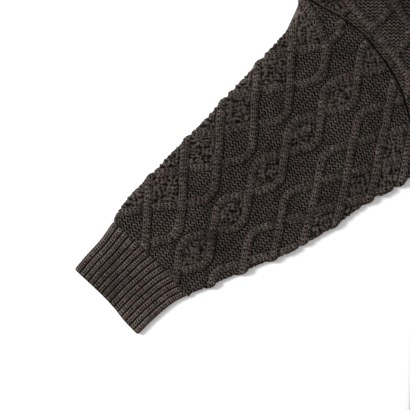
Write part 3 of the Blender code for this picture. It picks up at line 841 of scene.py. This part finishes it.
def make_neckband(name):
    shares = np.linspace(0, 1, NECKBAND_LINES)
    ribs = round(lengths(neck_curve(NECK_DROP_FRONT, 0.0))[-1] / RIB_PITCH)

    def band(drop, p, q):
        """Points of one layer of the band, its ends inset for the folds."""
        lines = []
        for share in shares:
            line = neck_curve(drop, SEAM_GAP + (NECKBAND_WIDTH - SEAM_GAP) * share)
            whole = lengths(line)[-1]
            lines.append(at_length(line, OUTER_FOLD + (whole - 2 * OUTER_FOLD) * p))
        lines = np.array(lines)
        where = q * (len(shares) - 1)
        low = np.clip(np.floor(where).astype(int), 0, len(shares) - 2)
        part = (where - low)[:, None]
        pick = np.arange(len(p))
        return lines[low, pick] * (1 - part) + lines[low + 1, pick] * part

    def flat(p, q, underside, side):
        points = np.where(underside[:, None], band(NECK_DROP_BACK, p, q),
                          band(NECK_DROP_FRONT, p, q))
        outward = np.column_stack([side * NECKBAND_RISE, np.abs(side) * NECKBAND_RUN])
        return points, outward / NECKBAND_WIDTH

    def relief(wale, course, q):
        return Relief(rib_height(wale, course) * smooth_step(q, 0, NECKBAND_EASE_SHARE))

    return make_tube(name, True, NECKBAND_GRID, NECKBAND_WIDTH, flat,
                     rib_stitches(ribs, 0.0, NECKBAND_WIDTH), relief,
                     (RIM_SHADE, 0.0))


# ---- front and back ----
ARMHOLE_SEAM = np.array([on_sleeve(*row) for row in through(ARMHOLE[::-1], CURVE_STEPS)])
UNDERARM = ARMHOLE_SEAM[0]
SHOULDER_TIP = ARMHOLE_SEAM[-1]
SHOULDER_STEPS = np.linspace(0, 1, 61)[:, None]
SHOULDER = ((1 - SHOULDER_STEPS ** 2) * SHOULDER_TIP + SHOULDER_STEPS ** 2 * np.array(NECK_POINT)
            + 2 * SHOULDER_STEPS * (1 - SHOULDER_STEPS) * ALONG * SHOULDER_DROP_LENGTH)
ARMHOLE_LENGTH = lengths(ARMHOLE_SEAM)[-1]
ARMHOLE_WAY = ARMHOLE_SEAM[-1] - ARMHOLE_SEAM[-2]  # the way its upper end points
ARMHOLE_WAY /= np.linalg.norm(ARMHOLE_WAY)
BODY_COLUMNS = tuple((-across, kind) for across, kind in BODY_COLUMNS_HALF[::-1])
BODY_COLUMNS += ((0.0, EVEN),) + BODY_COLUMNS_HALF
BODY_LATTICE = Lattice(BODY_COLUMNS, BODY_MOSS, BODY_LEVELS, BODY_EVEN_HEIGHT, fine=False)


def half_width(height):
    """The body's, up to the underarm."""
    up = np.clip((height - HEM_HEIGHT) / (UNDERARM[1] - HEM_HEIGHT), 0, 1)
    return BODY_HALF_WIDTH + (UNDERARM[0] - BODY_HALF_WIDTH) * up


def on_body(across, height):
    """Points of a panel's grid: its lines run straight up to the underarm, and above it lean
    out until the last one follows the armhole seam."""
    across, height = np.asarray(across, dtype=float), np.asarray(height, dtype=float)
    share = across / BODY_HALF_WIDTH
    rise = np.maximum(height - UNDERARM[1], 0)
    past = np.maximum(rise - ARMHOLE_LENGTH, 0)
    moved = at_length(ARMHOLE_SEAM, rise) - UNDERARM
    moved = moved + ARMHOLE_WAY * past[..., None]
    lean = np.abs(share) ** LEAN_POWER
    x = share * half_width(height) + np.sign(share) * moved[..., 0] * lean
    y = np.minimum(height, UNDERARM[1]) + rise * (1 - lean) + moved[..., 1] * lean
    return np.stack([x, y], axis=-1)


def panel_top(across, neck_drop):
    """The height, up each wale, where the panel ends at the shoulder or the neck."""
    neck = neck_curve(neck_drop, 0.0)
    edge = np.vstack([SHOULDER[:-1], neck[:len(neck) // 2 + 1]])[::-1]
    heights = np.arange(UNDERARM[1], UNDERARM[1] + TOP_REACH, TOP_STEP)
    top = np.empty(len(across))
    for k, place in enumerate(np.abs(across)):
        if place > BODY_HALF_WIDTH - 0.01:
            top[k] = UNDERARM[1] + ARMHOLE_LENGTH
            continue
        path = on_body(np.full(len(heights), place), heights)
        over = path[:, 1] - np.interp(path[:, 0], edge[:, 0], edge[:, 1])
        first = np.argmax(over > 0)
        part = over[first - 1] / (over[first - 1] - over[first])
        top[k] = heights[first - 1] + part * TOP_STEP
    return top


def spread_lines(start, end, count, dense_bands):
    """Places of grid lines from start to end, closer together in the (from, to, density)
    bands."""
    places = np.linspace(start, end, 2000)
    weight = np.ones_like(places)
    for low, high, density in dense_bands:
        weight[(places >= low) & (places <= high)] = density
    done = np.cumsum(weight)
    done = (done - done[0]) / (done[-1] - done[0])
    return np.interp(np.linspace(0, 1, count + 1), done, places)


def make_panel(name, upward, neck_drop, grid):
    """The front or the back: one layer of cloth from the hem to the neck.  Its rows are level
    up to the chest, and from there share out the way to the shoulder or the neck."""
    *counts, dense_side = grid
    columns, level_rows, top_rows = (2 * round(n * FINE / 2) for n in counts)
    rows = level_rows + top_rows
    tilt = np.linspace(0, np.pi / 2, TURN_ROWS + 1)
    inner = BODY_HALF_WIDTH - OUTER_FOLD
    low, high, density = DENSE_NECK
    flats = spread_lines(-inner, inner, columns, ((-inner, -DENSE_SIDE, dense_side),
                                                  (-high, -low, density), DENSE_NECK))
    fold = inner + OUTER_FOLD * np.sin(tilt)
    across = np.concatenate([-fold[::-1], flats[1:-1], fold])
    sideways = np.concatenate([tilt[::-1], np.zeros(len(flats) - 2), tilt])
    top = panel_top(across, neck_drop)
    top_across = np.abs(on_body(across, top)[:, 0])
    on_shoulder = smooth_step(top_across - NECK_POINT[0], *SHOULDER_ONSET)
    bottom = HEM_HEIGHT + SEAM_GAP / 2
    level = spread_lines(bottom, CHEST_HEIGHT, level_rows,
                         ((DENSE_CHEST, CHEST_HEIGHT, dense_side),))

    mesh, row, column = new_grid(rows + TURN_ROWS, len(across) - 1)
    across, sideways, top, on_shoulder = (line[column]
                                          for line in (across, sideways, top, on_shoulder))
    turned = tilt[np.clip(row - rows, 0, TURN_ROWS)]
    up = np.clip(row - level_rows, 0, top_rows) / top_rows
    height = level[np.minimum(row, level_rows)]
    height = height + (top - SHOULDER_TURN - CHEST_HEIGHT) * up + SHOULDER_TURN * np.sin(turned)
    plane = on_body(across, height)
    side_turn = 1 - smooth_step(height, UNDERARM[1] - SIDE_TURN_END, UNDERARM[1] + 1)
    drop = np.maximum((1 - np.cos(sideways)) * side_turn, (1 - np.cos(turned)) * on_shoulder)

    # the wales run up as the side seams do to the underarm, and straight on above it
    wale, course = plane[:, 0] * BODY_HALF_WIDTH / half_width(plane[:, 1]), plane[:, 1]
    knit = BODY_LATTICE.relief(wale, course)
    to_side = BODY_HALF_WIDTH - np.abs(across)
    by_armhole = smooth_step(height, UNDERARM[1] - SIDE_TURN_END, UNDERARM[1])
    from_seam = to_side * by_armhole + FAR * (1 - by_armhole)
    to_neck = (top - height) * (1 - on_shoulder) + FAR * on_shoulder
    wandering = from_seam + layered(wale, course, PANEL_SEAM_WANDER)
    seam = 1 - smooth_step(wandering, SEAM_CREASE, SEAM_REACH)
    ease = smooth_step(from_seam, 0, SEAM_EASE) * smooth_step(height - bottom, *HEM_JOIN_EASE)
    ease = ease * smooth_step(to_neck, 0, NECK_EASE)
    carved = ease * (1 - smooth_step(drop, *TURNED_DOWN))
    if upward > 0:
        lift = swell(wale, course, BODY_SWELL_MEAN, BODY_SWELL) * smooth_step(ease, 0, 1)
        lift = lift * smooth_step(1 - drop, *TURNED_DOWN)
        lift = lift * smooth_step(from_seam, 0, PANEL_SWELL_EDGE)
        lift = lift * smooth_step(height - bottom, 0, PANEL_SWELL_EDGE)
        out = knit.height * carved - SEAM_SINK * seam + lift
    else:
        out = -BACK_RELIEF * (CABLE_HEIGHT - np.clip(knit.height, BACK_LOWEST, CABLE_HEIGHT))
        out = out * carved
    z = MIDDLE + upward * (OUTER_FOLD * (1 - drop) + out + SEAM_GAP / 2 * (drop > ON_SEAM))
    place_points(mesh, np.column_stack([plane, z]))
    # painted shade in the knitting's pits and ditches and along the side seam
    hollow = np.maximum(knit.hollow * carved, seam_shade(wale, course) * seam)
    # the wool's uneven tone, with painted light towards the side folds
    to_fold = np.where(height > UNDERARM[1], FOLD_PAINTED_LIGHT_REACH, to_side)
    tone_and_painted_light = SLEEVE_LIGHT * wool_tone(wale, course, to_fold)
    write_knit(mesh, knit, hollow, tone_and_painted_light, knit.moss * carved, knit.strand)
    stitches = dict(zip(("wale", "course"), wander(wale, course)))
    write_attributes(mesh, {"turned": drop, **stitches})
    add_wall(mesh, upward)
    write_stitches(mesh, *(read_attribute(mesh, key) for key in stitches))
    return finish_piece(mesh, name, CABLE_WOOL)


def add_wall(mesh, upward):
    """Give the sheet its thickness: a rim round its border, and a plain inner face."""
    bm = bmesh.new()
    bm.from_mesh(mesh)
    turned = bm.verts.layers.float["turned"]
    # painted shade on the plain inner face
    inside = {"hollow": INSIDE_SHADE, "strand": 0.0, "moss": 0.0, "ground": 1.0}
    inside = {bm.verts.layers.float[key]: value for key, value in inside.items()}
    border = [edge for edge in bm.edges if edge.is_boundary]
    inner_height = (MIDDLE + upward * INNER_FOLD) * MM
    for step in (1, 2):
        made = bmesh.ops.extrude_edge_only(bm, edges=border)["geom"]
        border = [item for item in made if isinstance(item, bmesh.types.BMEdge)
                  and all(v in made for v in item.verts)]
        border = [edge for edge in border if edge.is_boundary]
        for vert in {v for edge in border for v in edge.verts}:
            inward = (WALL if step == 1 else INNER_FOLD) * MM * vert[turned]
            if vert[turned] > 0.5:
                vert.co.x -= math.copysign(inward, vert.co.x)
            if step == 2 or vert[turned] < 0.5:
                vert.co.z = inner_height
            for layer, value in inside.items():
                vert[layer] = value
    bmesh.ops.triangle_fill(bm, edges=border, use_beauty=True, normal=(0, 0, -upward))
    bm.to_mesh(mesh)
    bm.free()


# ---- materials ----
# numpy's names of operations, where a Math node has another one
OPERATIONS = {"TRUE_DIVIDE": "DIVIDE", "REMAINDER": "FLOORED_MODULO", "SIN": "SINE",
              "COS": "COSINE"}


class Field(np.lib.mixins.NDArrayOperatorsMixin):
    """A number that shader nodes work out at every point.  Operators and numpy's functions
    on it add the nodes, so the patterns of gaps above serve the material too."""

    def __init__(self, nodes, socket):
        self.nodes = nodes
        self.socket = socket

    def __array_ufunc__(self, function, method, *values):
        name = function.__name__.upper()
        node = self.nodes.new("Math", operation=OPERATIONS.get(name, name))
        for socket, value in zip(node.inputs, values):
            self.nodes.link(value, socket)
        return Field(self.nodes, node.outputs[0])

    def clip(self, low, high, **_):
        return np.minimum(np.maximum(self, low), high)


class Nodes:
    """Short ways to add a material's nodes."""

    def __init__(self, name, settings):
        self.material = bpy.data.materials.new(name)
        self.material.use_nodes = True
        self.tree = self.material.node_tree
        self.shader = self.tree.nodes["Principled BSDF"]
        self.set_inputs(self.shader, settings)
        self.place = self.new("TexCoord").outputs["Object"]

    def new(self, kind, **settings):
        node = self.tree.nodes.new("ShaderNode" + kind)
        for key, value in settings.items():
            setattr(node, key, value)
        return node

    def set_inputs(self, node, settings):
        for key, value in settings.items():
            node.inputs[key].default_value = value

    def link(self, value, socket):
        if isinstance(value, (int, float)):
            socket.default_value = value
        else:
            self.tree.links.new(getattr(value, "socket", value), socket)

    def attribute(self, name):
        return Field(self, self.new("Attribute", attribute_name=name).outputs["Fac"])

    def noise(self, scale, detail=1.0):
        """Noise round 0.5, with patches that many to the metre."""
        node = self.new("TexNoise")
        self.set_inputs(node, {"Scale": scale, "Detail": detail})
        self.link(self.place, node.inputs["Vector"])
        return Field(self, node.outputs["Fac"])

    def swing(self, scale, amount):
        """Noise round 0, that many times as strong."""
        return amount * (self.noise(scale) - 0.5)

    def ramp(self, value, stops):
        node = self.new("ValToRGB")
        band = node.color_ramp
        while len(band.elements) < len(stops):
            band.elements.new(0.5)
        for element, (place, colour) in zip(band.elements, stops):
            element.position = place
            element.color = (*colour, 1)
        self.link(value, node.inputs["Fac"])
        return node.outputs["Color"]

    def tinted(self, colour, tint):
        """The two colours, multiplied."""
        node = self.new("Mix", data_type="RGBA", blend_type="MULTIPLY")
        self.link(1.0, node.inputs["Factor"])
        self.link(colour, node.inputs[6])
        self.link(tint, node.inputs[7])
        return node.outputs[2]


WHITE = (1.0, 1.0, 1.0)
# stops of colour ramps: the yarn's flecks, tints in patches that many to the metre, and the
# shade of a gap; noise, as its patches to the metre and its detail or its strength
HEATHER = ((0.36, (0.037, 0.0302, 0.0262)), (0.50, (0.078, 0.0655, 0.0585)),
           (0.66, (0.124, 0.1080, 0.0994)))
TINTS = (
    (210.0, ((0.34, (0.94, 1.015, 0.975)), (0.50, WHITE), (0.66, (1.085, 0.965, 1.01)))),
    (95.0, ((0.33, (1.05, 0.975, 1.01)), (0.50, WHITE), (0.67, (0.965, 1.025, 0.965)))),
)
GAP_SHADES = ((0.05, WHITE), (0.45, (0.31, 0.266, 0.238)), (0.80, (0.026, 0.0128, 0.0080)))
MOTTLE = ((0.3, (0.93, 0.93, 0.93)), (0.7, (0.96, 0.96, 0.96)))
FLOOR_PATCHES = (6.0, 2.0)
FLECKS = (620.0, 3.0)
FLECK_PATCHES = (130.0, 2.0)
FLECK_SHARE = 0.65  # of the flecks, against those patches
FIBRES = (1500.0, 3.0)
FIBRE_BUMP = 0.4
GAP_BUMP = 0.8
MOSS_SHIFTS = ((190.0, 2.4), (215.0, 2.8))
MOSS_KNOB_SWING = (330.0, 2.6)
GAP_SWING = (300.0, 1.9)
RIB_SHIFT = (150.0, 1.6)
RIB_GAP_SWING = (240.0, 1.3)
GAP_MEAN = 1.05  # of a gap's depth, before its swing
RIB_GAP_MEAN = 0.97
BUMP = {"Strength": 0.7, "Distance": 0.0009}
WOOL_SHADER = {"Roughness": 0.92, "Specular IOR Level": 0.04, "Sheen Weight": 0.02,
               "Sheen Roughness": 0.6}


def material_moss(n, x, y):
    """The painted shade of the moss's pits, which the material draws with its unevenness drawn
    anew.
    """
    knob = moss_knobs(x + n.swing(*MOSS_SHIFTS[0]), y + n.swing(*MOSS_SHIFTS[1]))
    knob = knob + n.swing(*MOSS_KNOB_SWING)
    return MOSS_BASE + MOSS_SHADE * np.clip((PIT_START - knob) / PIT_REACH, 0, 1)


def wool(name, ribbed):
    """Heathered wool yarn: flecked colour, with painted shade between the stitches and in the
    mesh's pits and seams, scaled by the mesh's tone and painted light, and the finest of the
    stitches and the fibres as bump."""
    n = Nodes(name, WOOL_SHADER)
    split = n.new("SeparateXYZ")
    n.link(n.new("UVMap", uv_map="stitches").outputs["UV"], split.inputs[0])
    across, along = (Field(n, split.outputs[k]) for k in (0, 1))
    if ribbed:
        gaps = knit_gaps(across, along + n.swing(*RIB_SHIFT), *RIB_GAPS, RIB_GROOVE)
        gaps = gaps * (RIB_GAP_MEAN + n.swing(*RIB_GAP_SWING))
    else:
        on_strand = knit_gaps(n.attribute("strand_wale"), n.attribute("strand_course"),
                              *STRAND_GAPS)
        gaps = ground_gaps(across, along) * n.attribute("ground")
        gaps = gaps + on_strand * n.attribute("strand")
        gaps = gaps + material_moss(n, across, along) * n.attribute("moss")
        gaps = gaps * (GAP_MEAN + n.swing(*GAP_SWING))
        # painted shade from the mesh: pits, ditches, strand feet, seams and rims
        gaps = np.maximum(gaps, n.attribute("hollow"))
    flecked = FLECK_SHARE * n.noise(*FLECKS) + (1 - FLECK_SHARE) * n.noise(*FLECK_PATCHES)
    colour = n.ramp(flecked, HEATHER)
    for patches, tints in TINTS:
        colour = n.tinted(colour, n.ramp(n.noise(patches), tints))
    # painted shade: the colour darkens with the depth of the gaps
    colour = n.tinted(colour, n.ramp(gaps, GAP_SHADES))
    # the colour scaled by the wool's tone and its painted light at folds and on strands
    toned = n.new("VectorMath", operation="SCALE")
    n.link(colour, toned.inputs[0])
    n.link(n.attribute("tone_and_painted_light"), toned.inputs["Scale"])
    n.link(toned.outputs[0], n.shader.inputs["Base Color"])
    bumped = n.new("Bump")
    n.set_inputs(bumped, BUMP)
    n.link(FIBRE_BUMP * n.noise(*FIBRES) - GAP_BUMP * gaps, bumped.inputs["Height"])
    n.link(bumped.outputs["Normal"], n.shader.inputs["Normal"])
    return n.material


def paper(name):
    """The plain pale floor: nearly white, faintly mottled."""
    n = Nodes(name, {"Roughness": 0.9})
    n.link(n.ramp(n.noise(*FLOOR_PATCHES), MOTTLE), n.shader.inputs["Base Color"])
    return n.material


CABLE_WOOL = wool("cable_wool", False)
RIB_WOOL = wool("rib_wool", True)


# ---- the dress, the floor, light and camera ----
PHOTO_MIDDLE = (-489.6, 181.5)  # the floor point under the photograph's middle
PHOTO_WIDTH = 492.0  # of cloth that the photograph shows
LENS = 85.0
SENSOR = 36.0
FLOOR_HALF = 6.0  # metres
LAMP_PLACE = (-2.3, 0.9, 1.5)
LAMP_AIM = (-0.3, 0.0, 0.0)
LAMP_SIZE = 0.9
LAMP_POWER = 75.0
SKY = 0.62


def add_object(name, data):
    obj = bpy.data.objects.new(name, data)
    bpy.context.scene.collection.objects.link(obj)
    return obj


def cloth_piece(obj, node):
    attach(obj, "root")
    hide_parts(node)


def make_dress():
    front = make_panel("front_knit", 1, NECK_DROP_FRONT, FRONT_GRID)
    back = make_panel("back_knit", -1, NECK_DROP_BACK, BACK_GRID)
    cloth_piece(back, "back")
    cloth_piece(front, "front")
    for side, mirrored in (("left", False), ("right", True)):
        sleeve = make_sleeve("sleeve_" + side + "_knit", mirrored)
        cloth_piece(sleeve, "sleeve_" + side)
        cuff = make_cuff("cuff_" + side + "_knit", mirrored)
        cloth_piece(cuff, "cuff_" + side)
    cloth_piece(make_hem("hem_knit"), "hem")
    cloth_piece(make_neckband("neckband_knit"), "neckband")


def make_floor():
    mesh, *_ = new_grid(1, 1, FLOOR_HALF)
    mesh.materials.append(paper("floor_paper"))
    add_object("floor", mesh)


def make_studio():
    scene = bpy.context.scene
    scene.world = bpy.data.worlds.new("studio")
    scene.world.use_nodes = True
    sky = scene.world.node_tree.nodes["Background"]
    sky.inputs["Color"].default_value = (*WHITE, 1)
    sky.inputs["Strength"].default_value = SKY
    scene.view_settings.view_transform = "Standard"
    lamp = bpy.data.lights.new("key", "AREA")
    lamp.shape = "DISK"
    lamp.size = LAMP_SIZE
    lamp.energy = LAMP_POWER
    key = add_object("key", lamp)
    key.location = LAMP_PLACE
    direction = mathutils.Vector(LAMP_AIM) - mathutils.Vector(LAMP_PLACE)
    key.rotation_euler = direction.to_track_quat("-Z", "Y").to_euler()
    camera = bpy.data.cameras.new("camera")
    camera.lens = LENS
    camera.sensor_width = SENSOR
    scene.camera = add_object("camera", camera)
    above = PHOTO_WIDTH * LENS / SENSOR + 2 * OUTER_FOLD
    scene.camera.location = (PHOTO_MIDDLE[0] * MM, PHOTO_MIDDLE[1] * MM, above * MM)


make_floor()
make_dress()
make_studio()
